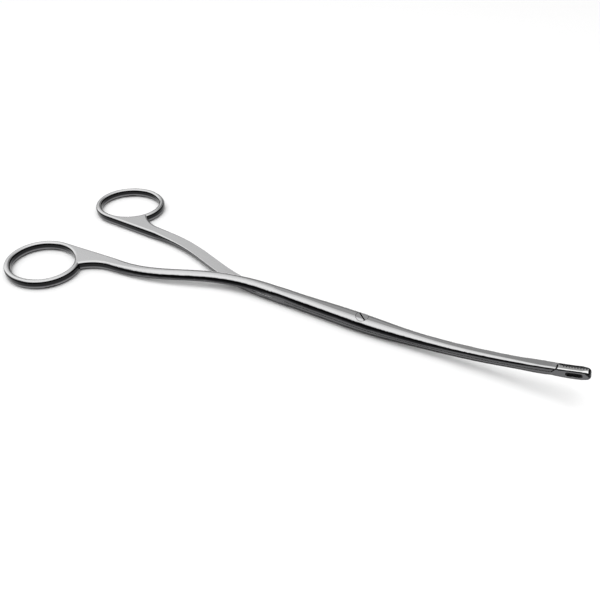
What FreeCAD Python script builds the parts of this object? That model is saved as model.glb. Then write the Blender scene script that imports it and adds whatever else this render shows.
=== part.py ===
import FreeCAD, Part
import math
import os
import Sketcher

# Kidney stone forceps, millimetres and degrees. X runs from the finger rings to the jaws,
# Z is up, and the origin is on the table, straight under the screw on which the halves turn.
# The instrument is two forged steel halves and one screw. The halves lie on each other from
# the crossing of the shanks to the jaws, and there each becomes one side of the jaw pair.

Vector = FreeCAD.Vector
doc = FreeCAD.newDocument("kidney_stone_forceps")
sheet = doc.addObject("Spreadsheet::Sheet", "sizes")
derived = doc.addObject("App::FeaturePython", "derived")

SIZES = {
    # Finger rings: ovals, leaning a little, on a band with rounded edges.
    "ring_to_screw": 128.5,
    "ring_offset": 26.5,
    "ring_hole_length": 26.8,
    "ring_hole_width": 23.8,
    "ring_end_radius": 11.0,
    "ring_band": 2.5,
    "ring_height": 4.0,
    "ring_rounding": 1.2,
    "ring_lean": 8.3,
    # Web between a ring and its shank.
    "web_reach": 26.0,
    "web_width": 5.1,
    "web_crotch_radius": 16.0,
    "web_crotch_sweep": 50.0,
    "toe_in": 2.4,
    # Shank: a short straight lead, an outer bend, a straight run and an inner bend.
    "shank_lead": 3.5,
    "shank_angle": 20.0,
    "outer_bend_radius": 80.0,
    "inner_bend_radius": 70.0,
    "shank_width": 5.0,
    "crossing_lead": 4.0,
    "face_corner": 0.3,
    # Lap: the height of the parting face, the running gap between the halves, and how far
    # past the start of the inner bend the flat of the lap begins.
    "parting_height": 3.0,
    "running_gap": 0.06,
    "lap_lead": 3.6,
    # Shaft: widths, heights and corner radii along it, from the crossing to the nose.
    "crossing_width": 5.4,
    "crossing_corner": 2.3,
    "heel_place": -26.0,
    "heel_width": 5.6,
    "swell_place": -17.0,
    "swell_width": 5.95,
    "shoulder_place": -8.0,
    "shoulder_width": 6.45,
    "screw_width": 6.7,
    "screw_corner": 2.5,
    "bend_start": 2.0,
    "shaft_bend_radius": 262.0,
    "cheek_reach": 6.0,
    "cheek_width": 6.2,
    "cheek_height": 5.75,
    "cheek_corner": 2.4,
    "neck_reach": 14.0,
    "neck_width": 5.3,
    "neck_height": 5.15,
    "neck_corner": 2.15,
    "waist_reach": 28.0,
    "waist_width": 4.3,
    "waist_height": 4.2,
    "waist_corner": 1.5,
    "fore_reach": 44.0,
    "fore_width": 3.8,
    "fore_height": 3.65,
    "fore_corner": 1.15,
    "wrist_reach": 54.0,
    "wrist_width": 3.6,
    "wrist_height": 3.35,
    "wrist_corner": 0.9,
    "root_width": 3.5,
    "root_height": 3.2,
    "root_corner": 0.75,
    # Jaws: lower and narrower than the shaft's end, with a round nose.
    "jaw_length": 11.1,
    "shaft_reach": 73.1,
    "jaw_width": 3.1,
    "jaw_height": 3.4,
    "jaw_corner": 0.5,
    "jaw_drop": 0.25,
    "nose_length": 2.4,
    "nose_corner": 1.4,
    "nose_rounding": 1.3,
    "step_slope": 45.0,
    "step_gap": 0.3,
    "jaw_gap": 0.1,
    "tooth_offset": 0.25,
    "tooth_place": 3.0,
    "tooth_pitch": 0.8,
    "tooth_depth": 0.36,
    "tooth_count": 9,
    "tooth_inset": 0.2,
    "window_length": 5.0,
    "window_height": 1.5,
    "window_place": 6.5,
    # Screw: the head lies in the upper half, ground flush, and the thread holds the lower half.
    "head_radius": 2.25,
    "head_depth": 1.1,
    "head_gap": 0.06,
    "seat_gap": 0.04,
    "flush_gap": 0.03,
    "stem_radius": 1.4,
    "stem_gap": 0.05,
    "thread_gap": 0.02,
    "slot_width": 0.45,
    "slot_depth": 0.6,
    "slot_turn": -43.0,
    # How far the milling cuts reach past the steel.
    "cut_reach": 20.0,
}
for row, (name, size) in enumerate(SIZES.items(), start=1):
    sheet.set(f"A{row}", name)
    sheet.set(f"B{row}", str(size))
    sheet.setAlias(f"B{row}", name)
doc.recompute()

# Sizes that follow from the ones above. Angles are plain numbers of degrees.
DERIVED = {
    "ring_turn": "sizes.ring_lean + sizes.toe_in",
    "ring_side_radius": "((sizes.ring_hole_length / 2) ^ 2 + (sizes.ring_hole_width / 2) ^ 2"
                        " - sizes.ring_hole_length * sizes.ring_end_radius)"
                        " / (sizes.ring_hole_width - 2 * sizes.ring_end_radius)",
    "ring_end_reach": "sizes.ring_hole_length / 2 - sizes.ring_end_radius",
    "ring_side_rise": "derived.ring_side_radius - sizes.ring_hole_width / 2",
    "inner_edge": "derived.ring_side_radius + sizes.ring_band"
                  " - derived.ring_side_rise * cos(derived.ring_turn * 1 deg)",
    "tangent_x": "-derived.ring_side_rise * sin(derived.ring_turn * 1 deg)",
    "web_line": "derived.inner_edge - sizes.web_width / 2",
    "web_x": "sizes.web_reach * cos(sizes.toe_in * 1 deg) - derived.web_line * sin(sizes.toe_in * 1 deg)"
             " - sizes.ring_to_screw",
    "web_y": "sizes.ring_offset - sizes.web_reach * sin(sizes.toe_in * 1 deg)"
             " - derived.web_line * cos(sizes.toe_in * 1 deg)",
    "lead_x": "derived.web_x + sizes.shank_lead * cos(sizes.toe_in * 1 deg)",
    "lead_y": "derived.web_y - sizes.shank_lead * sin(sizes.toe_in * 1 deg)",
    "mid_turn": "(sizes.toe_in + sizes.shank_angle) / 2",
    "mid_x": "derived.lead_x + sizes.outer_bend_radius"
             " * (sin(derived.mid_turn * 1 deg) - sin(sizes.toe_in * 1 deg))",
    "mid_y": "derived.lead_y - sizes.outer_bend_radius"
             " * (cos(sizes.toe_in * 1 deg) - cos(derived.mid_turn * 1 deg))",
    "run_x": "derived.lead_x + sizes.outer_bend_radius"
             " * (sin(sizes.shank_angle * 1 deg) - sin(sizes.toe_in * 1 deg))",
    "run_y": "derived.lead_y - sizes.outer_bend_radius"
             " * (cos(sizes.toe_in * 1 deg) - cos(sizes.shank_angle * 1 deg))",
    "turn_y": "sizes.inner_bend_radius * (1 - cos(sizes.shank_angle * 1 deg))",
    "turn_x": "derived.run_x + (derived.run_y - derived.turn_y) / tan(sizes.shank_angle * 1 deg)",
    "half_y": "sizes.inner_bend_radius * (1 - cos(sizes.shank_angle * 0.5 deg))",
    "cross_x": "derived.turn_x + sizes.inner_bend_radius * sin(sizes.shank_angle * 1 deg)",
    "half_x": "derived.cross_x - sizes.inner_bend_radius * sin(sizes.shank_angle * 0.5 deg)",
    "shaft_x": "derived.cross_x + sizes.crossing_lead",
    "step_reach": "sizes.shaft_reach - sizes.jaw_length",
    "step_turn": "derived.step_reach / sizes.shaft_bend_radius * 180 / pi",
    "lap_x": "derived.turn_x + sizes.lap_lead",
    "step_x": "sizes.bend_start + sizes.shaft_bend_radius * sin(derived.step_turn * 1 deg)",
    "step_z": "sizes.parting_height + sizes.shaft_bend_radius * (1 - cos(derived.step_turn * 1 deg))",
    "step_shift": "sizes.step_gap / 2 / sin(sizes.step_slope * 1 deg)",
    "lap_turn": "(derived.step_reach + derived.step_shift) / sizes.shaft_bend_radius * 180 / pi",
    "jaw_turn": "(sizes.shaft_reach - sizes.jaw_length / 2) / sizes.shaft_bend_radius * 180 / pi",
    "jaw_x": "sizes.bend_start + sizes.shaft_bend_radius * sin(derived.jaw_turn * 1 deg)",
    "jaw_z": "sizes.parting_height + sizes.shaft_bend_radius * (1 - cos(derived.jaw_turn * 1 deg))"
             " - sizes.jaw_drop",
    "head_floor": "2 * sizes.parting_height - sizes.head_depth",
}
for name in DERIVED:
    derived.addProperty("App::PropertyFloat", name)
for name, formula in DERIVED.items():
    derived.setExpression(name, formula)
doc.recompute()


def size(name):
    """The present value of a size, for the first sketch of a shape that the sheet then drives."""
    return getattr(derived, name) if name in DERIVED else sheet.get(name)


def origin_plane(body, role):
    return [feature for feature in body.Origin.OriginFeatures if feature.Role == role][0]


def attach(body, name, role, place, turn_axis=None, turn="0"):
    """A sketch on an origin plane of its body, moved and turned in the plane's own axes."""
    sketch = body.newObject("Sketcher::SketchObject", name)
    sketch.AttachmentSupport = (origin_plane(body, role), [""])
    sketch.MapMode = "FlatFace"
    if turn_axis:
        sketch.AttachmentOffset = FreeCAD.Placement(Vector(), FreeCAD.Rotation(turn_axis, 1))
        sketch.setExpression("AttachmentOffset.Rotation.Angle", f"({turn}) * 1 deg")
    for letter, formula in zip("xyz", place):
        if formula != "0":
            sketch.setExpression(f"AttachmentOffset.Base.{letter}", formula)
    return sketch


def bind(sketch, kind, references, formula, guess):
    """A named constraint whose value comes from the sheet."""
    index = sketch.addConstraint(Sketcher.Constraint(kind, *references, guess))
    label = f"size_{index}"
    sketch.renameConstraint(index, label)
    sketch.setExpression(f"Constraints.{label}", formula)


def rounded_box(sketch, width, height, top_corner, foot_corner):
    """A box about the sketch's origin with rounded corners, as four lines and four arcs."""
    half_w, half_h, top, foot = width[1] / 2, height[1] / 2, top_corner[1], foot_corner[1]
    corners = ((half_w, -half_h, foot, -90), (half_w, half_h, top, 0),
               (-half_w, half_h, top, 90), (-half_w, -half_h, foot, 180))
    edges = []
    for x, y, radius, start in corners:
        centre = Vector(x - math.copysign(radius, x), y - math.copysign(radius, y), 0)
        circle = Part.Circle(centre, Vector(0, 0, 1), radius)
        edges.append(Part.ArcOfCircle(circle, math.radians(start), math.radians(start + 90)))
    lines = [Part.LineSegment(edges[i].EndPoint, edges[(i + 1) % 4].StartPoint) for i in range(4)]
    order = [edges[0], lines[0], edges[1], lines[1], edges[2], lines[2], edges[3], lines[3]]
    sketch.addGeometry(order, False)
    for index in range(8):
        sketch.addConstraint(Sketcher.Constraint("Tangent", index, 2, (index + 1) % 8, 1))
    sketch.addConstraint(Sketcher.Constraint("Vertical", 1))
    sketch.addConstraint(Sketcher.Constraint("Horizontal", 3))
    sketch.addConstraint(Sketcher.Constraint("Vertical", 5))
    sketch.addConstraint(Sketcher.Constraint("Equal", 2, 4))
    sketch.addConstraint(Sketcher.Constraint("Equal", 0, 6))
    bind(sketch, "DistanceX", (-1, 1, 1, 1), f"({width[0]}) / 2", half_w)
    bind(sketch, "DistanceX", (5, 1, -1, 1), f"({width[0]}) / 2", half_w)
    bind(sketch, "DistanceY", (-1, 1, 3, 1), f"({height[0]}) / 2", half_h)
    bind(sketch, "DistanceY", (7, 1, -1, 1), f"({height[0]}) / 2", half_h)
    bind(sketch, "Radius", (2,), top_corner[0], top)
    bind(sketch, "Radius", (0,), foot_corner[0], foot)


def measure(formula, guess):
    return formula, guess


def named(name):
    return f"sizes.{name}", size(name)


def blend(first, last, share):
    """A size a share of the way from one named size to another."""
    formula = f"sizes.{first} + (sizes.{last} - sizes.{first}) * {share}"
    return formula, size(first) + (size(last) - size(first)) * share


def pin(sketch, geometry, point, x, y):
    """Holds one corner of an outline at its place; x and y are (formula, guess) pairs."""
    bind(sketch, "DistanceX", (-1, 1, geometry, point), x[0], x[1])
    bind(sketch, "DistanceY", (-1, 1, geometry, point), y[0], y[1])


def outline(sketch, points):
    """A closed outline of straight lines through corners given as pairs of (formula, guess)."""
    places = [Vector(x[1], y[1], 0) for x, y in points]
    last = len(points)
    sketch.addGeometry([Part.LineSegment(places[i], places[(i + 1) % last]) for i in range(last)], False)
    for index, (x, y) in enumerate(points):
        sketch.addConstraint(Sketcher.Constraint("Coincident", index, 2, (index + 1) % last, 1))
        pin(sketch, index, 1, x, y)


def oval(sketch, band):
    """The oval of a finger ring about the sketch's origin, as four arcs, the long way along x.

    band is the (formula, guess) pair of how far it lies outside the edge of the finger hole.
    """
    reach, rise = size("ring_end_reach"), size("ring_side_rise")
    end, side = size("ring_end_radius") + band[1], size("ring_side_radius") + band[1]
    join = math.degrees(math.atan2(rise, reach))
    arcs = (((reach, 0), end, -join, join), ((0, -rise), side, join, 180 - join),
            ((-reach, 0), end, 180 - join, 180 + join), ((0, rise), side, 180 + join, 360 - join))
    sketch.addGeometry([Part.ArcOfCircle(Part.Circle(Vector(*centre, 0), Vector(0, 0, 1), radius),
                                         math.radians(start), math.radians(stop))
                        for centre, radius, start, stop in arcs], False)
    for index in range(4):
        sketch.addConstraint(Sketcher.Constraint("Tangent", index, 2, (index + 1) % 4, 1))
    for index, axis in enumerate((-1, -2, -1)):
        sketch.addConstraint(Sketcher.Constraint("PointOnObject", index, 3, axis))
    sketch.addConstraint(Sketcher.Constraint("Equal", 0, 2))
    sketch.addConstraint(Sketcher.Constraint("Equal", 1, 3))
    bind(sketch, "Radius", (0,), f"sizes.ring_end_radius + {band[0]}", end)
    bind(sketch, "Radius", (1,), f"derived.ring_side_radius + {band[0]}", side)
    bind(sketch, "DistanceX", (-1, 1, 0, 3), "derived.ring_end_reach", reach)


def pad(body, sketch, name, length):
    feature = body.newObject("PartDesign::Pad", name)
    feature.Profile = sketch
    feature.setExpression("Length", length)
    sketch.Visibility = False
    return feature


def pocket(body, sketch, name, both_ways=False, reverse=False):
    """Cuts the sketch's area right through, to both sides of its plane or to one."""
    feature = body.newObject("PartDesign::Pocket", name)
    feature.Profile = sketch
    feature.Type = 1
    feature.Midplane = both_ways
    feature.Reversed = reverse
    return feature


def edge_names(shape, keep):
    return [f"Edge{i}" for i, edge in enumerate(shape.Edges, start=1) if keep(edge)]


def ring_and_web(body, side):
    """A finger ring and the web that carries it, both cut from one flat thickness.

    side is 1 for the half whose ring lies towards +Y and -1 for the other half.
    """
    def plane_sketch(name, turn):
        place = ("-sizes.ring_to_screw", f"{side} * sizes.ring_offset", "0")
        return attach(body, name, "XY_Plane", place, Vector(0, 0, 1), turn)

    # The same oval half a turn round, so that the start of its first arc lies clear of the web.
    disc = plane_sketch("ring_outline", f"{side} * sizes.ring_lean + 90 * (1 + {side})")
    oval(disc, named("ring_band"))
    pad(body, disc, "ring_disc", "sizes.ring_height")

    web = plane_sketch("web_outline", f"{-side} * sizes.toe_in")
    reach, radius, edge = size("web_reach"), size("web_crotch_radius"), size("inner_edge")
    outer = edge - size("web_width")
    sweep = math.radians(size("web_crotch_sweep"))
    back, rise = radius * math.sin(sweep), radius * (1 - math.cos(sweep))
    corners = [Vector(size("tangent_x"), -side * edge, 0), Vector(reach, -side * edge, 0),
               Vector(reach, -side * outer, 0), Vector(reach - back, side * (rise - outer), 0)]
    centre = Vector(reach, side * (radius - outer), 0)
    circle = Part.Circle(centre, Vector(0, 0, 1), radius)
    towards = math.radians(-90 * side)
    arc_range = (towards - sweep, towards) if side > 0 else (towards, towards + sweep)
    web.addGeometry([Part.LineSegment(corners[0], corners[1]), Part.LineSegment(corners[1], corners[2]),
                     Part.ArcOfCircle(circle, *arc_range), Part.LineSegment(corners[3], corners[0])], False)
    arc_near, arc_far = (2, 1) if side > 0 else (1, 2)
    web.addConstraint(Sketcher.Constraint("Coincident", 0, 2, 1, 1))
    web.addConstraint(Sketcher.Constraint("Coincident", 1, 2, 2, arc_near))
    web.addConstraint(Sketcher.Constraint("Coincident", 2, arc_far, 3, 1))
    web.addConstraint(Sketcher.Constraint("Coincident", 3, 2, 0, 1))
    inner_line = (f"{-side} * derived.inner_edge", -side * edge)
    outer_line = (f"{-side} * (derived.inner_edge - sizes.web_width)", -side * outer)
    pin(web, 0, 1, ("derived.tangent_x", size("tangent_x")), inner_line)
    pin(web, 1, 1, ("sizes.web_reach", reach), inner_line)
    pin(web, 1, 2, ("sizes.web_reach", reach), outer_line)
    bind(web, "DistanceX", (-1, 1, 2, 3), "sizes.web_reach", reach)
    bind(web, "Radius", (2,), "sizes.web_crotch_radius", radius)
    bind(web, "DistanceX", (-1, 1, 3, 1),
         "sizes.web_reach - sizes.web_crotch_radius * sin(sizes.web_crotch_sweep * 1 deg)", reach - back)
    pad(body, web, "web", "sizes.ring_height")

    hole = plane_sketch("ring_hole", f"{side} * sizes.ring_lean")
    oval(hole, ("0", 0.0))
    feature = pocket(body, hole, "finger_hole", reverse=True)
    height = size("ring_height")
    web_end = Vector(size("web_x"), side * size("web_y"), 0)
    angle = math.radians(-side * size("toe_in"))
    heading = Vector(math.cos(angle), math.sin(angle), 0)

    def flat(edge):
        box = edge.BoundBox
        return box.ZLength < 1e-6 and min(abs(box.ZMin), abs(box.ZMin - height)) < 1e-6

    def in_hole(edge):
        radius = getattr(edge.Curve, "Radius", 0)
        return min(abs(radius - size("ring_end_radius")), abs(radius - size("ring_side_radius"))) < 1e-3

    def at_web_end(edge):
        return max(abs((vertex.Point - web_end).dot(heading)) for vertex in edge.Vertexes) < 1e-3

    for name, keep in (("outer_rounding", lambda edge: flat(edge) and not in_hole(edge) and not at_web_end(edge)),
                       ("hole_rounding", lambda edge: flat(edge) and in_hole(edge))):
        doc.recompute()
        fillet = body.newObject("PartDesign::Fillet", name)
        fillet.Base = (feature, edge_names(feature.Shape, keep))
        fillet.setExpression("Radius", "sizes.ring_rounding")
        feature = fillet
    return feature


def shank(body, side):
    """The bent arm from the web to the crossing, lofted through rounded sections.

    The upper half (side -1) climbs from the table to the parting face, and its outside is
    its rounded top. The lower half (side 1) keeps to the table, and its flat top is the lap.
    """
    upper = side < 0
    stops = (("web_x", "web_y", "sizes.toe_in", 0.0, 0.0), ("lead_x", "lead_y", "sizes.toe_in", 0.3, 0.12),
             ("mid_x", "mid_y", "derived.mid_turn", 0.8, 0.5), ("run_x", "run_y", "sizes.shank_angle", 1.0, 0.85),
             ("turn_x", "turn_y", "sizes.shank_angle", 1.0, 1.0),
             ("half_x", "half_y", "sizes.shank_angle / 2", 1.0, 1.0),
             ("cross_x", "", "0", 1.0, 1.0), ("shaft_x", "", "0", 1.0, 1.0))
    half_gap = "sizes.running_gap / 2"
    sections = []
    for count, (x, y, turn, share, lift) in enumerate(stops):
        floor = f"{lift} * (sizes.parting_height + {half_gap})" if upper else "0"
        tall = f"sizes.ring_height + {share} * (sizes.parting_height - {half_gap} - sizes.ring_height)"
        tall_now = size("ring_height") + share * (size("parting_height") - size("running_gap") / 2
                                                  - size("ring_height"))
        aside = f"{side} * derived.{y}" if y else "0"
        place = (aside, f"{floor} + ({tall}) / 2", f"derived.{x}")
        sketch = attach(body, f"shank_section_{count}", "YZ_Plane", place, Vector(0, 1, 0), f"{-side} * ({turn})")
        width = blend("web_width", "shank_width", share)
        if count >= len(stops) - 2:
            width = named("crossing_width")
        back = blend("ring_rounding", "crossing_corner", share)
        face = blend("ring_rounding", "face_corner", share)
        corners = (back, face) if upper else (face, back)
        rounded_box(sketch, width, measure(tall, tall_now), *corners)
        sections.append(sketch)
    return loft(body, "shank", sections)


def loft(body, name, sections):
    feature = body.newObject("PartDesign::AdditiveLoft", name)
    feature.Profile = sections[0]
    feature.Sections = sections[1:]
    feature.Ruled = False
    return feature


def bent_section(body, name, reach, width, height, corner, drop="0"):
    """A section of the bent shaft, square to it, at a reach measured along its middle line."""
    turn = f"({reach}) / sizes.shaft_bend_radius * 180 / pi"
    x = f"sizes.bend_start + sizes.shaft_bend_radius * sin({turn} * 1 deg)"
    z = f"sizes.parting_height + sizes.shaft_bend_radius * (1 - cos({turn} * 1 deg)) - {drop}"
    sketch = attach(body, name, "YZ_Plane", ("0", z, x), Vector(-1, 0, 0), turn)
    rounded_box(sketch, named(width), named(height), named(corner), named(corner))
    return sketch


def shaft(body):
    """The whole round shaft, before the lap is milled: straight to the screw, then bent up."""
    full = "2 * sizes.parting_height", 2 * size("parting_height")
    straight = (("derived.shaft_x", "crossing", "crossing"), ("sizes.heel_place", "heel", "crossing"),
                ("sizes.swell_place", "swell", "crossing"), ("sizes.shoulder_place", "shoulder", "crossing"),
                ("0", "screw", "screw"))
    sections = []
    for x, name, corner in straight:
        sketch = attach(body, f"{name}_section", "YZ_Plane", ("0", "sizes.parting_height", x))
        rounding = named(f"{corner}_corner")
        rounded_box(sketch, named(f"{name}_width"), full, rounding, rounding)
        sections.append(sketch)
    for name in ("cheek", "neck", "waist", "fore", "wrist"):
        sections.append(bent_section(body, f"{name}_section", f"sizes.{name}_reach", f"{name}_width",
                                     f"{name}_height", f"{name}_corner"))
    sections.append(bent_section(body, "shaft_end_section", "derived.step_reach", "root_width", "root_height",
                                 "root_corner"))
    return loft(body, "shaft", sections)


def jaw_block(body):
    """Both jaws as one block on the end of the shaft: root, middle and front, then the round nose."""
    def front_section(name, reach, corner):
        return bent_section(body, name, reach, "jaw_width", "jaw_height", corner, "sizes.jaw_drop")

    root = bent_section(body, "jaw_root_section", "derived.step_reach", "root_width", "root_height", "root_corner")
    middle = front_section("jaw_middle_section", "sizes.shaft_reach - (sizes.jaw_length + sizes.nose_length) / 2",
                           "jaw_corner")
    front = front_section("jaw_front_section", "sizes.shaft_reach - sizes.nose_length", "jaw_corner")
    loft(body, "jaw_block", [root, middle, front])
    behind = front_section("nose_start_section", "sizes.shaft_reach - sizes.nose_length", "jaw_corner")
    nose = loft(body, "nose", [behind, front_section("nose_section", "sizes.shaft_reach", "nose_corner")])
    doc.recompute()
    nose_end = max(nose.Shape.Faces, key=lambda face: face.CenterOfMass.x)
    borders = [edge.hashCode() for edge in nose_end.Edges]
    fillet = body.newObject("PartDesign::Fillet", "nose_rounding")
    fillet.Base = (nose, edge_names(nose.Shape, lambda edge: edge.hashCode() in borders))
    fillet.setExpression("Radius", "sizes.nose_rounding")
    return fillet


def lap(body, side):
    """Mills the parting face, flat and then bent with the shaft, and one slanted face of the step."""
    upper = side < 0
    gap = f"{-side} * sizes.running_gap / 2", -side * size("running_gap") / 2
    radius = f"(sizes.shaft_bend_radius - {gap[0]})", size("shaft_bend_radius") - gap[1]
    turn = size("lap_turn")
    slope = f"(derived.step_turn + {side} * sizes.step_slope)", size("step_turn") + side * size("step_slope")
    reach = size("cut_reach")
    end = (f"{radius[0]} * sin(derived.lap_turn * 1 deg)", radius[1] * math.sin(math.radians(turn)))
    rise = (f"sizes.shaft_bend_radius - {radius[0]} * cos(derived.lap_turn * 1 deg)",
            size("shaft_bend_radius") - radius[1] * math.cos(math.radians(turn)))
    tip = (f"{end[0]} + sizes.cut_reach / 2 * cos({slope[0]} * 1 deg)",
           end[1] + reach / 2 * math.cos(math.radians(slope[1])))
    tip_rise = (f"{rise[0]} + sizes.cut_reach / 2 * sin({slope[0]} * 1 deg)",
                rise[1] + reach / 2 * math.sin(math.radians(slope[1])))
    start = "derived.lap_x - sizes.bend_start", size("lap_x") - size("bend_start")
    away = f"{side} * sizes.cut_reach", side * reach

    sketch = attach(body, "lap_outline", "XZ_Plane", ("sizes.bend_start", "sizes.parting_height", "0"))
    corners = [Vector(start[1], away[1], 0), Vector(start[1], gap[1], 0), Vector(0, gap[1], 0),
               Vector(end[1], rise[1], 0), Vector(tip[1], tip_rise[1], 0), Vector(tip[1], away[1], 0)]
    circle = Part.Circle(Vector(0, size("shaft_bend_radius"), 0), Vector(0, 0, 1), radius[1])
    bend = Part.ArcOfCircle(circle, math.radians(-90), math.radians(turn - 90))
    sketch.addGeometry([Part.LineSegment(corners[0], corners[1]), Part.LineSegment(corners[1], corners[2]), bend,
                        Part.LineSegment(corners[3], corners[4]), Part.LineSegment(corners[4], corners[5]),
                        Part.LineSegment(corners[5], corners[0])], False)
    for index in range(6):
        sketch.addConstraint(Sketcher.Constraint("Coincident", index, 2, (index + 1) % 6, 1))
    pin(sketch, 0, 1, start, away)
    pin(sketch, 1, 1, start, gap)
    bind(sketch, "DistanceY", (-1, 1, 2, 1), *gap)
    sketch.addConstraint(Sketcher.Constraint("PointOnObject", 2, 1, -2))
    sketch.addConstraint(Sketcher.Constraint("PointOnObject", 2, 3, -2))
    bind(sketch, "DistanceY", (-1, 1, 2, 3), "sizes.shaft_bend_radius", size("shaft_bend_radius"))
    bind(sketch, "DistanceX", (-1, 1, 3, 1), *end)
    pin(sketch, 4, 1, tip, tip_rise)
    pin(sketch, 5, 1, tip, away)
    return pocket(body, sketch, "lap", both_ways=True)


def jaw_side(body, side):
    """Takes the other half's side off the jaw block, from the slanted step to the nose."""
    face = f"sizes.tooth_offset + sizes.tooth_depth / 2 - {side} * sizes.jaw_gap / 2"
    sketch = attach(body, "jaw_side_outline", "XZ_Plane", ("derived.step_x", "derived.step_z", f"-({face})"),
                    Vector(0, 0, 1), "derived.step_turn")
    reach, shift = size("cut_reach"), size("step_shift")
    slope = math.radians(size("step_slope"))
    arm = ("sizes.cut_reach * cos(sizes.step_slope * 1 deg) - derived.step_shift", reach * math.cos(slope) - shift)
    rise = reach * math.sin(slope)
    up = "sizes.cut_reach * sin(sizes.step_slope * 1 deg)", rise
    down = f"-{up[0]}", -rise
    front = "2 * sizes.cut_reach", 2 * reach
    outline(sketch, [(("-derived.step_shift", -shift), ("0", 0.0)), (arm, down), (front, down), (front, up),
                     (arm, up)])
    return pocket(body, sketch, "jaw_side", reverse=side < 0)


def teeth(body, side):
    """A row of V-shaped teeth across the jaw: ridges on the far jaw and their grooves in the near one."""
    face = (f"(sizes.tooth_offset + sizes.tooth_depth / 2 - {side} * sizes.jaw_gap / 2)",
            size("tooth_offset") + size("tooth_depth") / 2 - side * size("jaw_gap") / 2)
    sketch = attach(body, "tooth_outline", "XY_Plane", ("derived.jaw_x", "0", "derived.jaw_z"),
                    Vector(0, -1, 0), "derived.jaw_turn")
    first = "(sizes.tooth_place - sizes.jaw_length / 2)", size("tooth_place") - size("jaw_length") / 2
    pitch, depth = size("tooth_pitch"), size("tooth_depth")
    outline(sketch, [(first, face),
                     ((f"{first[0]} + sizes.tooth_pitch / 2", first[1] + pitch / 2),
                      (f"{face[0]} - sizes.tooth_depth", face[1] - depth)),
                     ((f"{first[0]} + sizes.tooth_pitch", first[1] + pitch), face),
                     ((f"{first[0]} + sizes.tooth_pitch", first[1] + pitch),
                      (f"{face[0]} + sizes.jaw_gap", face[1] + size("jaw_gap"))),
                     (first, (f"{face[0]} + sizes.jaw_gap", face[1] + size("jaw_gap")))])
    if side < 0:
        tooth = pad(body, sketch, "tooth", "sizes.jaw_height - 2 * sizes.tooth_inset")
        tooth.Midplane = True
    else:
        tooth = pocket(body, sketch, "tooth", both_ways=True)
    row = body.newObject("PartDesign::LinearPattern", "tooth_row")
    row.Originals = [tooth]
    row.Direction = (sketch, ["H_Axis"])
    row.setExpression("Length", "sizes.tooth_pitch * (sizes.tooth_count - 1)")
    row.setExpression("Occurrences", "sizes.tooth_count")
    body.Tip = row
    return row


def window(body):
    """The oval window through the jaw, which lets a held stone bed into it."""
    sketch = attach(body, "window_outline", "XZ_Plane", ("derived.jaw_x", "derived.jaw_z", "0"),
                    Vector(0, 0, 1), "derived.jaw_turn")
    place = "(sizes.window_place - sizes.jaw_length / 2)", size("window_place") - size("jaw_length") / 2
    radius, half = size("window_height") / 2, (size("window_length") - size("window_height")) / 2
    rear, front = Vector(place[1] - half, 0, 0), Vector(place[1] + half, 0, 0)
    right, left = math.radians(90), math.radians(270)
    sketch.addGeometry([Part.ArcOfCircle(Part.Circle(rear, Vector(0, 0, 1), radius), right, left),
                        Part.LineSegment(rear - Vector(0, radius, 0), front - Vector(0, radius, 0)),
                        Part.ArcOfCircle(Part.Circle(front, Vector(0, 0, 1), radius), -right, right),
                        Part.LineSegment(front + Vector(0, radius, 0), rear + Vector(0, radius, 0))], False)
    for index in range(4):
        sketch.addConstraint(Sketcher.Constraint("Tangent", index, 2, (index + 1) % 4, 1))
    sketch.addConstraint(Sketcher.Constraint("PointOnObject", 0, 3, -1))
    sketch.addConstraint(Sketcher.Constraint("PointOnObject", 2, 3, -1))
    bind(sketch, "Radius", (0,), "sizes.window_height / 2", radius)
    run = "(sizes.window_length - sizes.window_height) / 2"
    bind(sketch, "DistanceX", (-1, 1, 0, 3), f"{place[0]} - {run}", place[1] - half)
    bind(sketch, "DistanceX", (-1, 1, 2, 3), f"{place[0]} + {run}", place[1] + half)
    return pocket(body, sketch, "jaw_window", both_ways=True)


def turned(body, kind, name, points):
    """A full turn of an outline about the screw's line, added or cut."""
    sketch = attach(body, f"{name}_outline", "XZ_Plane", ("0", "0", "0"))
    outline(sketch, points)
    feature = body.newObject(f"PartDesign::{kind}", name)
    feature.Profile = sketch
    feature.ReferenceAxis = (sketch, ["V_Axis"])
    feature.Angle = 360
    return feature


def half(name, side):
    """One forging: ring, web, shank and shaft first, then the milled faces, teeth and window."""
    body = doc.addObject("PartDesign::Body", name)
    body.Label = name
    body.Placement = FreeCAD.Placement(Vector(0, 0, 0), FreeCAD.Rotation())
    ring_and_web(body, side)
    shank(body, side)
    shaft(body)
    jaw_block(body)
    lap(body, side)
    jaw_side(body, side)
    teeth(body, side)
    window(body)
    return body


def screw_bores():
    """The stepped bore for the head and stem in the upper half and the screwed hole in the lower."""
    bore = "sizes.stem_radius + sizes.stem_gap", size("stem_radius") + size("stem_gap")
    seat = "sizes.head_radius + sizes.head_gap", size("head_radius") + size("head_gap")
    floor = "derived.head_floor", size("head_floor")
    foot = "-sizes.cut_reach", -size("cut_reach")
    top = "sizes.cut_reach", size("cut_reach")
    axis = "0", 0.0
    turned(upper_half, "Groove", "head_bore",
           [(axis, foot), (bore, foot), (bore, floor), (seat, floor), (seat, top), (axis, top)])
    hole = "sizes.stem_radius + sizes.thread_gap", size("stem_radius") + size("thread_gap")
    turned(lower_half, "Groove", "thread_hole", [(axis, foot), (hole, foot), (hole, top), (axis, top)])


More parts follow.
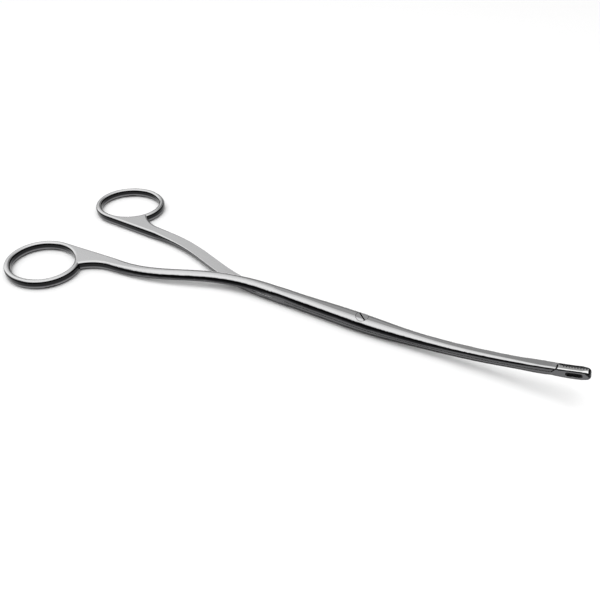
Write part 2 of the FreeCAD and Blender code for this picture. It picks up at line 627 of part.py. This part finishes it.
def screw(name):
    """The screw, with its head and its foot ground to the round of the shaft, and its slot."""
    body = doc.addObject("PartDesign::Body", name)
    body.Label = name
    body.Placement = FreeCAD.Placement(Vector(0, 0, 0), FreeCAD.Rotation())
    stem, head = named("stem_radius"), named("head_radius")
    seat = "derived.head_floor + sizes.seat_gap", size("head_floor") + size("seat_gap")
    foot = "0", 0.0
    top = "2 * sizes.parting_height - sizes.flush_gap", 2 * size("parting_height") - size("flush_gap")
    axis = "0", 0.0
    turned(body, "Revolution", "screw_blank",
           [(axis, foot), (stem, foot), (stem, seat), (head, seat), (head, top), (axis, top)])

    ground = attach(body, "ground_outline", "YZ_Plane", ("0", "sizes.parting_height", "0"))
    wide = "sizes.screw_width - 2 * sizes.head_gap", size("screw_width") - 2 * size("head_gap")
    tall = "2 * sizes.parting_height + sizes.flush_gap", 2 * size("parting_height") + size("flush_gap")
    rounded_box(ground, wide, tall, named("screw_corner"), named("screw_corner"))
    reach = size("cut_reach") / 2
    frame = [Vector(-reach, -reach, 0), Vector(reach, -reach, 0), Vector(reach, reach, 0), Vector(-reach, reach, 0)]
    sides = [("-sizes.cut_reach / 2", -reach), ("sizes.cut_reach / 2", reach)]
    first = ground.GeometryCount
    ground.addGeometry([Part.LineSegment(frame[i], frame[(i + 1) % 4]) for i in range(4)], False)
    for index, (x, y) in enumerate(((0, 0), (1, 0), (1, 1), (0, 1))):
        ground.addConstraint(Sketcher.Constraint("Coincident", first + index, 2, first + (index + 1) % 4, 1))
        pin(ground, first + index, 1, sides[x], sides[y])
    pocket(body, ground, "ground_flush", both_ways=True)

    slot = attach(body, "slot_outline", "XY_Plane", ("0", "0", "2 * sizes.parting_height"),
                  Vector(0, 0, 1), "sizes.slot_turn")
    long, half_slot = ("sizes.head_radius * 2", size("head_radius") * 2), size("slot_width") / 2
    back = f"-({long[0]})", -long[1]
    under, over = ("-sizes.slot_width / 2", -half_slot), ("sizes.slot_width / 2", half_slot)
    outline(slot, [(back, under), (long, under), (long, over), (back, over)])
    cut = body.newObject("PartDesign::Pocket", "driver_slot")
    cut.Profile = slot
    cut.setExpression("Length", "sizes.slot_depth")
    return body


def checked(body):
    """Stops the build if a feature of the body failed or its shape is not one valid solid."""
    for feature in body.Group:
        if "Invalid" in feature.State or "Error" in feature.State:
            raise RuntimeError(f"{body.Name}: {feature.Name} is {feature.State}")
    if body.Shape.isNull() or not body.Shape.isValid() or len(body.Shape.Solids) != 1:
        raise RuntimeError(f"{body.Name} is not one valid solid")


upper_half = half("upper_half", -1)
lower_half = half("lower_half", 1)
screw_bores()
pivot_screw = screw("pivot_screw")
doc.recompute()
os.makedirs("parts", exist_ok=True)
for body in (upper_half, lower_half, pivot_screw):
    checked(body)
    body.Shape.exportStep(f"parts/{body.Label}.step")
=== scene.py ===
import math

import bpy
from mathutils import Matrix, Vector

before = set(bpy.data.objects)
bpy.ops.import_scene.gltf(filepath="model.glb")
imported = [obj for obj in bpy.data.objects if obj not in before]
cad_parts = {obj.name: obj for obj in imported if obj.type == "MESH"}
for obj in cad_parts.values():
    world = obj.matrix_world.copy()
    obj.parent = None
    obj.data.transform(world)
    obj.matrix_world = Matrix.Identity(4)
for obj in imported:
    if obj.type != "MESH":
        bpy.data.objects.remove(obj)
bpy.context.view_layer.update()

# Camera
# The instrument lies on a table and is seen from in front and above, with the jaws to the
# right. The view is level, and its lens gives the photograph's slight perspective.

view_target = Vector((-0.0253, 0.0010, 0.0030))
view_turn = math.radians(28.283)
view_tilt = math.radians(38.561)
view_distance = 0.223
film_width = 36.0
lens_length = 36.0
nearest_seen = 0.005

camera_data = bpy.data.cameras.new("view")
camera_data.sensor_width = film_width
camera_data.lens = lens_length
camera_data.clip_start = nearest_seen
camera = bpy.data.objects.new("view", camera_data)
bpy.context.scene.collection.objects.link(camera)
sight = Vector((-math.cos(view_tilt) * math.sin(view_turn),
                math.cos(view_tilt) * math.cos(view_turn),
                -math.sin(view_tilt)))
camera.location = view_target - sight * view_distance
camera.rotation_euler = sight.to_track_quat("-Z", "Y").to_euler()
bpy.context.scene.camera = camera
bpy.context.scene.view_settings.view_transform = "Standard"

# Table
# A smooth white sheet that takes the soft shadow of the instrument. The camera and the steel
# see it pure white, and away from the instrument it fades into the white room.

table_size = 5.8
table_shade = (0.94, 0.94, 0.94, 1)
table_roughness = 0.7
table_gloss = 0.1
white = (1, 1, 1, 1)
fade_start, fade_end = 0.3, 1.0


def node_at(tree, kind, **settings):
    """A new shader node with its plain settings."""
    node = tree.nodes.new(kind)
    for name, value in settings.items():
        setattr(node, name, value)
    return node


def feed(tree, socket, value):
    """Gives a socket a plain number, or joins it to the socket that the value comes from."""
    if isinstance(value, (int, float)):
        socket.default_value = value
    else:
        tree.links.new(value, socket)


def reckon(tree, operation, *values):
    """A math node on sockets or plain numbers. Returns its result."""
    node = node_at(tree, "ShaderNodeMath", operation=operation)
    for socket, value in zip(node.inputs, values):
        feed(tree, socket, value)
    return node.outputs[0]


def change(tree, value, start, end, low=0.0, high=1.0, kind="SMOOTHSTEP"):
    """A change from low, where the value is start, to high, where it is end. Returns its result."""
    node = node_at(tree, "ShaderNodeMapRange", interpolation_type=kind)
    limits = {"Value": value, "From Min": start, "From Max": end, "To Min": low, "To Max": high}
    for name, limit in limits.items():
        feed(tree, node.inputs[name], limit)
    return node.outputs["Result"]


def mesh_piece(name, points, faces):
    """A mesh object in the scene, made from its points and faces."""
    mesh = bpy.data.meshes.new(name)
    mesh.from_pydata(points, [], faces)
    piece = bpy.data.objects.new(name, mesh)
    bpy.context.scene.collection.objects.link(piece)
    return piece


reach = table_size / 2
table = mesh_piece("table", [(-reach, -reach, 0), (reach, -reach, 0), (reach, reach, 0), (-reach, reach, 0)],
                   [(0, 1, 2, 3)])
table_look = bpy.data.materials.new("white_table")
table_look.use_nodes = True
tree = table_look.node_tree
sheet = tree.nodes["Principled BSDF"]
sheet.inputs["Roughness"].default_value = table_roughness
sheet.inputs["Specular IOR Level"].default_value = table_gloss
ray = node_at(tree, "ShaderNodeLightPath").outputs
seen_in_steel = reckon(tree, "MAXIMUM", ray["Is Glossy Ray"], ray["Is Transmission Ray"])
seen = reckon(tree, "MAXIMUM", ray["Is Camera Ray"], seen_in_steel)
sheet_tone = node_at(tree, "ShaderNodeMix", data_type="RGBA")
sheet_tone.inputs["A"].default_value = table_shade
sheet_tone.inputs["B"].default_value = white
tree.links.new(seen, sheet_tone.inputs["Factor"])
tree.links.new(sheet_tone.outputs["Result"], sheet.inputs["Base Color"])
sheet_place = node_at(tree, "ShaderNodeTexCoord")
from_middle = node_at(tree, "ShaderNodeVectorMath", operation="LENGTH")
tree.links.new(sheet_place.outputs["Object"], from_middle.inputs[0])
fade = change(tree, from_middle.outputs["Value"], fade_start, fade_end)
white_sheet = node_at(tree, "ShaderNodeEmission")
faded_sheet = node_at(tree, "ShaderNodeMixShader")
tree.links.new(reckon(tree, "MULTIPLY", fade, seen), faded_sheet.inputs["Fac"])
tree.links.new(sheet.outputs[0], faded_sheet.inputs[1])
tree.links.new(white_sheet.outputs[0], faded_sheet.inputs[2])
tree.links.new(faded_sheet.outputs[0], tree.nodes["Material Output"].inputs["Surface"])
table.data.materials.append(table_look)

# Room
# White all round, where the camera looks past the table.

world = bpy.data.worlds.new("white_room")
world.use_nodes = True
bpy.context.scene.world = world
world.node_tree.nodes["Background"].inputs["Color"].default_value = white

# Light tent
# A round of white cloth over the table, bright overhead and dim towards its foot. It is unseen
# and casts no shadow: the steel shows it as bright lands between dark bands.

tent_radius = 3.0
tent_rows = 12
tent_columns = 36
# The brightness at each angle, from its foot behind (0), over its top (90), to its foot in
# front (180).
cloth_stops = ((0, 0.3), (18, 0.2), (34, 0.22), (43, 0.42), (52, 0.66), (64, 0.76), (76, 0.92),
               (90, 1.0), (106, 1.1), (126, 1.0), (138, 0.9), (147, 0.25), (158, 0.18), (180, 0.25))
# On the left its lamps hang lower, and all of its brightness is turned forward by this share
# of the half round.
low_lamps_start, low_lamps_end = -0.36 * tent_radius, -0.58 * tent_radius
low_lamps_share = 0.09


def parts_of(tree, coordinates):
    """The X, Y and Z of the piece's own coordinates (Object), or of its facing (Normal)."""
    place = node_at(tree, "ShaderNodeTexCoord")
    parts = node_at(tree, "ShaderNodeSeparateXYZ")
    tree.links.new(place.outputs[coordinates], parts.inputs[0])
    return parts.outputs


def grey_stops(node, stops):
    """Sets the stops of a colour ramp to grey levels at their places from 0 to 1."""
    elements = node.color_ramp.elements
    while len(elements) < len(stops):
        elements.new(0.5)
    for element, (place, level) in zip(elements, stops):
        element.position = place
        element.color = (level, level, level, 1)


tent_points = [(0, 0, tent_radius)]
for row in range(1, tent_rows + 1):
    fall = math.pi / 2 * row / tent_rows
    for column in range(tent_columns):
        way = 2 * math.pi * column / tent_columns
        tent_points.append((tent_radius * math.sin(fall) * math.cos(way),
                            tent_radius * math.sin(fall) * math.sin(way),
                            tent_radius * math.cos(fall)))
tent_faces = [(0, 1 + (column + 1) % tent_columns, 1 + column) for column in range(tent_columns)]
for row in range(tent_rows - 1):
    start = 1 + row * tent_columns
    for column in range(tent_columns):
        right = (column + 1) % tent_columns
        tent_faces.append((start + column, start + right, start + tent_columns + right,
                           start + tent_columns + column))
tent = mesh_piece("light_tent", tent_points, tent_faces)
tent.visible_camera = False
tent.visible_shadow = False

tent_look = bpy.data.materials.new("lit_cloth")
tent_look.use_nodes = True
tree = tent_look.node_tree
tree.nodes.clear()
at = parts_of(tree, "Object")
share = reckon(tree, "DIVIDE", reckon(tree, "ARCTAN2", at["Z"], at["Y"]), math.pi)
lowered = change(tree, at["X"], low_lamps_end, low_lamps_start, low_lamps_share, 0.0)
cloth = node_at(tree, "ShaderNodeValToRGB")
grey_stops(cloth, [(angle / 180, level) for angle, level in cloth_stops])
tree.links.new(reckon(tree, "ADD", share, lowered), cloth.inputs[0])
glow = node_at(tree, "ShaderNodeEmission")
tree.links.new(cloth.outputs["Color"], glow.inputs["Color"])
tent_end = node_at(tree, "ShaderNodeOutputMaterial")
tree.links.new(glow.outputs[0], tent_end.inputs["Surface"])
tent.data.materials.append(tent_look)

# Softbox
# The key light: a wide softbox overhead and a little in front, for a soft shadow. It is kept
# out of the steel's reflections, which come from the tent and the table.

softbox_size = 1.1
softbox_power = 9.5
softbox_place = (-0.05, -0.15, 1.5)

softbox_data = bpy.data.lights.new("softbox", "AREA")
softbox_data.shape = "SQUARE"
softbox_data.size = softbox_size
softbox_data.energy = softbox_power
softbox = bpy.data.objects.new("softbox", softbox_data)
softbox.location = softbox_place
softbox.rotation_euler = (view_target - softbox.location).to_track_quat("-Z", "Y").to_euler()
softbox.visible_glossy = False
bpy.context.scene.collection.objects.link(softbox)

# Upper half
# One stainless forging: the near ring, its shank over the other, and the upper side of the
# shaft, with the far jaw. It was milled, ground and belt polished along its length.

steel_shade = (0.74, 0.74, 0.745)
line_shade_share = 0.93
clean_share, filmed_share = 0.85, 1.3
line_strength = 0.35
line_depth = 0.000002
edge_width = 0.00012
# Painted highlight along the lands' edges, a mid grey line through the painted black turn.
edge_shade = (0.6, 0.6, 0.605)
# Painted reflection: the turn above the upright sides, black as if it mirrored a dark room.
shoulder_painted_reflection = (0.012, 0.012, 0.013)
shoulder_stops = ((0.12, 0.0), (0.24, 1.0), (0.62, 1.0), (0.7, 0.0))
# Painted reflection: the foot of the shaft's sides, darkened low on the sides.
foot_painted_reflection = (0.02, 0.02, 0.02)
# Painted reflections on the rings' walls: black above, and a paler ledge low down.
ring_ledge_painted_reflection = (0.19, 0.19, 0.194)
ring_wall_painted_reflection = (0.02, 0.02, 0.021)
# Painted highlight: the near jaw's top is paler than the rest of the steel.
near_jaw_painted_highlight = (0.96, 0.96, 0.96)
jaw_middle = (0.068803, 0.0, 0.01141)
jaw_turn = (0.0, -0.25782, 0.0)
# Painted shade inside the jaw's window.
window_painted_shade = (0.06, 0.06, 0.062)
seam_shade = (0.015, 0.015, 0.015)
slot_turn = math.radians(43)
# Painted reflection: the upper half's upright sides, darkened as if they mirrored a dark floor.
upper_side_painted_reflection = (0.1, 0.1, 0.103)
upper_shift = 0.0
upper_roughness = 0.11


def new_group(name, inputs, outputs):
    """An empty shader group. Its inputs are numbers with names, and its outputs numbers or, where
    the name is Normal, a direction. Returns the group and the sockets at its two ends."""
    group = bpy.data.node_groups.new(name, "ShaderNodeTree")
    for label, value in inputs:
        socket = group.interface.new_socket(label, in_out="INPUT", socket_type="NodeSocketFloat")
        socket.default_value = value
    for label in outputs:
        kind = "NodeSocketVector" if label == "Normal" else "NodeSocketFloat"
        group.interface.new_socket(label, in_out="OUTPUT", socket_type=kind)
    return group, group.nodes.new("NodeGroupInput").outputs, group.nodes.new("NodeGroupOutput").inputs


def polish_marks():
    """Long fine lines of belt polishing, and the soft cloudy film that handling leaves."""
    group, entry, leave = new_group(
        "polish_marks",
        [("Line Scale", 2600.0), ("Stretch", 0.03), ("Cloud Scale", 60.0), ("Cloud Low", 0.35),
         ("Cloud High", 0.7), ("Shift", 0.0)],
        ["Lines", "Cloud"])
    place = node_at(group, "ShaderNodeTexCoord")
    shifted = node_at(group, "ShaderNodeVectorMath", operation="ADD")
    group.links.new(place.outputs["Object"], shifted.inputs[0])
    group.links.new(entry["Shift"], shifted.inputs[1])
    squeeze = node_at(group, "ShaderNodeCombineXYZ")
    squeeze.inputs["Y"].default_value = 1.0
    squeeze.inputs["Z"].default_value = 1.0
    group.links.new(entry["Stretch"], squeeze.inputs["X"])
    drawn = node_at(group, "ShaderNodeVectorMath", operation="MULTIPLY")
    group.links.new(shifted.outputs[0], drawn.inputs[0])
    group.links.new(squeeze.outputs[0], drawn.inputs[1])
    lines = node_at(group, "ShaderNodeTexNoise")
    lines.inputs["Detail"].default_value = 3.0
    lines.inputs["Roughness"].default_value = 0.6
    group.links.new(drawn.outputs[0], lines.inputs["Vector"])
    group.links.new(entry["Line Scale"], lines.inputs["Scale"])
    group.links.new(lines.outputs["Fac"], leave["Lines"])
    cloud = node_at(group, "ShaderNodeTexNoise")
    cloud.inputs["Detail"].default_value = 4.0
    group.links.new(shifted.outputs[0], cloud.inputs["Vector"])
    group.links.new(entry["Cloud Scale"], cloud.inputs["Scale"])
    film = change(group, cloud.outputs["Fac"], entry["Cloud Low"], entry["Cloud High"], kind="LINEAR")
    group.links.new(film, leave["Cloud"])
    return group


def bright_edge():
    """A mask of the sharp edges for a painted highlight, and the rounder normal polishing leaves."""
    group, entry, leave = new_group(
        "bright_edge", [("Width", 0.00025), ("Flat", 0.995), ("Round", 0.9)], ["Mask", "Normal"])
    bevel = node_at(group, "ShaderNodeBevel", samples=6)
    group.links.new(entry["Width"], bevel.inputs["Radius"])
    flat = node_at(group, "ShaderNodeNewGeometry")
    agree = node_at(group, "ShaderNodeVectorMath", operation="DOT_PRODUCT")
    group.links.new(bevel.outputs["Normal"], agree.inputs[0])
    group.links.new(flat.outputs["Normal"], agree.inputs[1])
    mask = change(group, agree.outputs["Value"], entry["Flat"], entry["Round"], kind="LINEAR")
    group.links.new(mask, leave["Mask"])
    group.links.new(bevel.outputs["Normal"], leave["Normal"])
    return group


def painted_side_reflections():
    """Masks for painted reflections: the upright sides, darkened as if they mirrored a dark floor,
    the blackest turn above them, painted black as if it mirrored a dark room, and the upper and
    lower part of the rings' walls, the one painted black and the other a paler painted ledge."""
    group, entry, leave = new_group(
        "painted_side_reflections",
        [("Steepest", 0.3), ("Flattest", 0.6), ("Ledge Top", 0.0014), ("Wall Foot", 0.0021),
         ("Ring Edge", -0.09), ("Ring Start", -0.103)],
        ["Side", "Shoulder", "Ring Wall", "Ring Ledge"])
    at = parts_of(group, "Object")
    upright = reckon(group, "ABSOLUTE", parts_of(group, "Normal")["Z"])
    side = change(group, upright, entry["Steepest"], entry["Flattest"], 1.0, 0.0)
    group.links.new(side, leave["Side"])
    on_ring = change(group, at["X"], entry["Ring Edge"], entry["Ring Start"])
    ring_side = reckon(group, "MULTIPLY", on_ring, side)
    high = change(group, at["Z"], entry["Ledge Top"], entry["Wall Foot"])
    low = reckon(group, "SUBTRACT", 1.0, high)
    group.links.new(reckon(group, "MULTIPLY", ring_side, high), leave["Ring Wall"])
    group.links.new(reckon(group, "MULTIPLY", ring_side, low), leave["Ring Ledge"])
    shoulder = node_at(group, "ShaderNodeValToRGB")
    shoulder.color_ramp.interpolation = "EASE"
    grey_stops(shoulder, shoulder_stops)
    group.links.new(upright, shoulder.inputs[0])
    group.links.new(shoulder.outputs["Color"], leave["Shoulder"])
    return group


def joint_line():
    """Masks of the fine dark seam where the two halves meet, along the curved parting face, and of
    the foot of the shaft's sides below it, for a painted dark reflection."""
    group, entry, leave = new_group(
        "joint_line",
        [("Half Width", 0.00016), ("Height", 0.003), ("Turn", 0.002), ("Radius", 0.262),
         ("Start", -0.03), ("End", 0.0635), ("Foot Start", -0.0002), ("Foot End", -0.0022)],
        ["Mask", "Foot"])
    at = parts_of(group, "Object")
    radius = entry["Radius"]
    along = reckon(group, "MAXIMUM", reckon(group, "SUBTRACT", at["X"], entry["Turn"]), 0.0)
    height_squared = reckon(group, "SUBTRACT", reckon(group, "MULTIPLY", radius, radius),
                            reckon(group, "MULTIPLY", along, along))
    bow = reckon(group, "SUBTRACT", radius, reckon(group, "SQRT", height_squared))
    rise = reckon(group, "SUBTRACT", at["Z"], reckon(group, "ADD", entry["Height"], bow))
    near = reckon(group, "LESS_THAN", reckon(group, "ABSOLUTE", rise), entry["Half Width"])
    on_shaft = reckon(group, "MULTIPLY", reckon(group, "GREATER_THAN", at["X"], entry["Start"]),
                      reckon(group, "LESS_THAN", at["X"], entry["End"]))
    group.links.new(reckon(group, "MULTIPLY", near, on_shaft), leave["Mask"])
    foot = change(group, rise, entry["Foot Start"], entry["Foot End"])
    group.links.new(reckon(group, "MULTIPLY", foot, on_shaft), leave["Foot"])
    return group


def jaw_marks():
    """Masks in the jaws: the dark zigzag between the teeth, the window's walls for painted shade,
    and for painted reflections the dark top of the far jaw, the bright one of the near jaw (a
    painted highlight), the near face's black upper edge, and the nose."""
    group, entry, leave = new_group(
        "jaw_marks",
        [("Start", -0.0036), ("Tooth Start", -0.00255), ("Tooth End", 0.00465),
         ("Tooth Pitch", 0.0008), ("Tooth Depth", 0.00075), ("Tooth Crest", 0.00043),
         ("Line Half Width", 0.00013), ("Window Middle", 0.00095), ("Window Half Length", 0.00256),
         ("Window Half Height", 0.00081), ("Wall", 0.00147), ("Edge Height", 0.00112),
         ("Edge Turn", 0.0038), ("Nose Start", 0.0048), ("Nose Foot", -0.0001)],
        ["Teeth", "Window", "Far Top", "Near Top", "Face Edge", "Nose"])
    place = node_at(group, "ShaderNodeTexCoord")
    on_jaw = node_at(group, "ShaderNodeMapping", vector_type="TEXTURE")
    on_jaw.inputs["Location"].default_value = jaw_middle
    on_jaw.inputs["Rotation"].default_value = jaw_turn
    group.links.new(place.outputs["Object"], on_jaw.inputs["Vector"])
    at = node_at(group, "ShaderNodeSeparateXYZ")
    group.links.new(on_jaw.outputs["Vector"], at.inputs[0])
    along, across, up = at.outputs["X"], at.outputs["Y"], at.outputs["Z"]

    half_pitch = reckon(group, "MULTIPLY", entry["Tooth Pitch"], 0.5)
    in_row = reckon(group, "SUBTRACT", along, entry["Tooth Start"])
    wave = reckon(group, "DIVIDE", reckon(group, "PINGPONG", in_row, half_pitch), half_pitch)
    dip = reckon(group, "MULTIPLY", wave, entry["Tooth Depth"])
    zigzag = reckon(group, "SUBTRACT", entry["Tooth Crest"], dip)
    off_line = reckon(group, "ABSOLUTE", reckon(group, "SUBTRACT", across, zigzag))
    on_line = reckon(group, "LESS_THAN", off_line, entry["Line Half Width"])
    by_teeth = reckon(group, "MULTIPLY", reckon(group, "GREATER_THAN", along, entry["Tooth Start"]),
                      reckon(group, "LESS_THAN", along, entry["Tooth End"]))
    group.links.new(reckon(group, "MULTIPLY", on_line, by_teeth), leave["Teeth"])

    off_window = reckon(group, "ABSOLUTE", reckon(group, "SUBTRACT", along, entry["Window Middle"]))
    in_length = reckon(group, "LESS_THAN", off_window, entry["Window Half Length"])
    in_height = reckon(group, "LESS_THAN", reckon(group, "ABSOLUTE", up), entry["Window Half Height"])
    in_wall = reckon(group, "LESS_THAN", reckon(group, "ABSOLUTE", across), entry["Wall"])
    in_window = reckon(group, "MULTIPLY", reckon(group, "MULTIPLY", in_length, in_height), in_wall)
    group.links.new(in_window, leave["Window"])

    on_jaws = reckon(group, "GREATER_THAN", along, entry["Start"])
    far = reckon(group, "GREATER_THAN", across, zigzag)
    near = reckon(group, "SUBTRACT", 1.0, far)
    group.links.new(reckon(group, "MULTIPLY", far, on_jaws), leave["Far Top"])
    group.links.new(reckon(group, "MULTIPLY", near, on_jaws), leave["Near Top"])

    turned_down = reckon(group, "MAXIMUM", reckon(group, "SUBTRACT", along, entry["Edge Turn"]), 0.0)
    edge_height = reckon(group, "SUBTRACT", entry["Edge Height"], turned_down)
    above_edge = reckon(group, "GREATER_THAN", up, edge_height)
    group.links.new(reckon(group, "MULTIPLY", above_edge, on_jaws), leave["Face Edge"])
    above_foot = reckon(group, "GREATER_THAN", up, entry["Nose Foot"])
    at_nose = reckon(group, "GREATER_THAN", along, entry["Nose Start"])
    group.links.new(reckon(group, "MULTIPLY", above_foot, at_nose), leave["Nose"])
    return group


def screw_marks():
    """Masks of the fine dark ring round the screw's head, and of its darkened slot."""
    group, entry, leave = new_group(
        "screw_marks", [("Rim", 0.00231), ("Rim Half Width", 0.00006), ("Slot Half Width", 0.00027)],
        ["Rim Mask", "Slot Mask"])
    at = parts_of(group, "Object")
    flat = node_at(group, "ShaderNodeCombineXYZ")
    group.links.new(at["X"], flat.inputs["X"])
    group.links.new(at["Y"], flat.inputs["Y"])
    out = node_at(group, "ShaderNodeVectorMath", operation="LENGTH")
    group.links.new(flat.outputs[0], out.inputs[0])
    off_rim = reckon(group, "ABSOLUTE", reckon(group, "SUBTRACT", out.outputs["Value"], entry["Rim"]))
    on_rim = reckon(group, "LESS_THAN", off_rim, entry["Rim Half Width"])
    group.links.new(on_rim, leave["Rim Mask"])
    aside = node_at(group, "ShaderNodeVectorMath", operation="DOT_PRODUCT")
    aside.inputs[1].default_value = (math.sin(slot_turn), math.cos(slot_turn), 0)
    group.links.new(flat.outputs[0], aside.inputs[0])
    off_slot = reckon(group, "ABSOLUTE", aside.outputs["Value"])
    group.links.new(reckon(group, "LESS_THAN", off_slot, entry["Slot Half Width"]), leave["Slot Mask"])
    return group


marks_group = polish_marks()
edge_group = bright_edge()
side_group = painted_side_reflections()
seam_group = joint_line()
jaw_group = jaw_marks()
screw_group = screw_marks()


def bare_steel(name, shade, shift, roughness, depth, width):
    """Belt-polished stainless steel with nothing over it. Returns its material, its tone, and the
    masks of its sides and of the painted highlight on the edges of its lands."""
    look = bpy.data.materials.new(name)
    look.use_nodes = True
    tree = look.node_tree
    steel = tree.nodes["Principled BSDF"]
    steel.inputs["Metallic"].default_value = 1.0
    marks = node_at(tree, "ShaderNodeGroup", node_tree=marks_group)
    marks.inputs["Shift"].default_value = shift
    edge = node_at(tree, "ShaderNodeGroup", node_tree=edge_group)
    edge.inputs["Width"].default_value = width
    side = node_at(tree, "ShaderNodeGroup", node_tree=side_group)

    tone = node_at(tree, "ShaderNodeMix", data_type="RGBA")
    tone.inputs["A"].default_value = (*[part * line_shade_share for part in shade], 1)
    tone.inputs["B"].default_value = (*shade, 1)
    tree.links.new(marks.outputs["Lines"], tone.inputs["Factor"])

    dullness = change(tree, marks.outputs["Cloud"], 0.0, 1.0,
                      roughness * clean_share, roughness * filmed_share, kind="LINEAR")
    tree.links.new(dullness, steel.inputs["Roughness"])

    grain = node_at(tree, "ShaderNodeBump")
    grain.inputs["Strength"].default_value = line_strength
    grain.inputs["Distance"].default_value = depth
    tree.links.new(marks.outputs["Lines"], grain.inputs["Height"])
    tree.links.new(edge.outputs["Normal"], grain.inputs["Normal"])
    tree.links.new(grain.outputs["Normal"], steel.inputs["Normal"])

    on_land = reckon(tree, "SUBTRACT", 1.0, side.outputs["Side"])
    land_edge = reckon(tree, "MULTIPLY", edge.outputs["Mask"], on_land)
    return look, tone.outputs["Result"], side.outputs, land_edge


def lay_over(look, tone, layers):
    """Lays other tones over the bare steel, each where its mask is, with the last one on top."""
    tree = look.node_tree
    for mask, shade in layers:
        layer = node_at(tree, "ShaderNodeMix", data_type="RGBA")
        layer.inputs["B"].default_value = (*shade, 1)
        tree.links.new(tone, layer.inputs["A"])
        tree.links.new(mask, layer.inputs["Factor"])
        tone = layer.outputs["Result"]
    tree.links.new(tone, tree.nodes["Principled BSDF"].inputs["Base Color"])


def forging_steel(name, side_shade, shift, roughness, has_far_jaw):
    """The finish of one half, from the lands of its shank and shaft to the marks in its jaw,
    much of it painted reflections, highlight and shade.
    """
    look, tone, side, land_edge = bare_steel(name, steel_shade, shift, roughness, line_depth, edge_width)
    tree = look.node_tree
    seam = node_at(tree, "ShaderNodeGroup", node_tree=seam_group).outputs
    jaw = node_at(tree, "ShaderNodeGroup", node_tree=jaw_group).outputs
    screw = node_at(tree, "ShaderNodeGroup", node_tree=screw_group).outputs
    foot = reckon(tree, "MULTIPLY", seam["Foot"], side["Side"])
    # The face edge, the nose and the far jaw's top join the black turn as painted reflections.
    face_edge = reckon(tree, "MULTIPLY", jaw["Face Edge"], side["Side"])
    shoulder = reckon(tree, "MAXIMUM", side["Shoulder"], reckon(tree, "MAXIMUM", face_edge, jaw["Nose"]))
    if has_far_jaw:
        shoulder = reckon(tree, "MAXIMUM", shoulder, jaw["Far Top"])
    seam_on_side = reckon(tree, "MULTIPLY", seam["Mask"], side["Side"])
    dirt = reckon(tree, "MAXIMUM", reckon(tree, "MAXIMUM", seam_on_side, screw["Rim Mask"]), jaw["Teeth"])
    # Painted light: jaw highlight, reflections on sides, ring walls, foot, turn and edges, window shade.
    lay_over(look, tone, [
        (jaw["Near Top"], near_jaw_painted_highlight),
        (side["Side"], side_shade),
        (side["Ring Ledge"], ring_ledge_painted_reflection),
        (side["Ring Wall"], ring_wall_painted_reflection),
        (foot, foot_painted_reflection),
        (shoulder, shoulder_painted_reflection),
        (land_edge, edge_shade),
        (jaw["Window"], window_painted_shade),
        (dirt, seam_shade)])
    return look


def dress(node, look):
    """Gives a carried-over part of the frame its finish."""
    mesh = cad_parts[node].data
    mesh.materials.clear()
    mesh.materials.append(look)


upper_steel = forging_steel("upper_half_steel", upper_side_painted_reflection, upper_shift, upper_roughness, True)
dress("upper_half", upper_steel)

# Lower half
# The other forging, with the far ring, the lower side of the shaft and the near jaw. Its flat
# parting face shows on the far shank, ground crisp and a little duller than the round sides.

# Painted reflection: the lower half's upright sides, darkened as if they mirrored a dark floor.
lower_side_painted_reflection = (0.13, 0.13, 0.134)
lower_shift = 0.37
lower_roughness = 0.12

lower_steel = forging_steel("lower_half_steel", lower_side_painted_reflection, lower_shift, lower_roughness, False)
dress("lower_half", lower_steel)

# Pivot screw
# A slotted steel screw, turned, driven in and ground flush with the shaft, so that only its
# slot and the fine line of its rim show.

screw_shade = (0.72, 0.72, 0.73)
# Painted reflection: the screw's upright sides, darkened as if they mirrored a dark floor.
screw_side_painted_reflection = (0.2, 0.2, 0.2)
screw_shift = 0.71
screw_roughness = 0.13
screw_line_depth = 0.000003
screw_edge_width = 0.0001

screw_look, screw_tone, screw_side, screw_edge = bare_steel(
    "pivot_screw_steel", screw_shade, screw_shift, screw_roughness, screw_line_depth, screw_edge_width)
tree = screw_look.node_tree
head = node_at(tree, "ShaderNodeGroup", node_tree=screw_group).outputs
head_dark_lines = reckon(tree, "MAXIMUM", head["Rim Mask"], head["Slot Mask"])
# Painted reflections on the screw's sides and turn, a painted edge highlight, dark rim and slot.
lay_over(screw_look, screw_tone, [
    (screw_side["Side"], screw_side_painted_reflection),
    (screw_side["Shoulder"], shoulder_painted_reflection),
    (screw_edge, edge_shade),
    (head_dark_lines, seam_shade)])
dress("pivot_screw", screw_look)
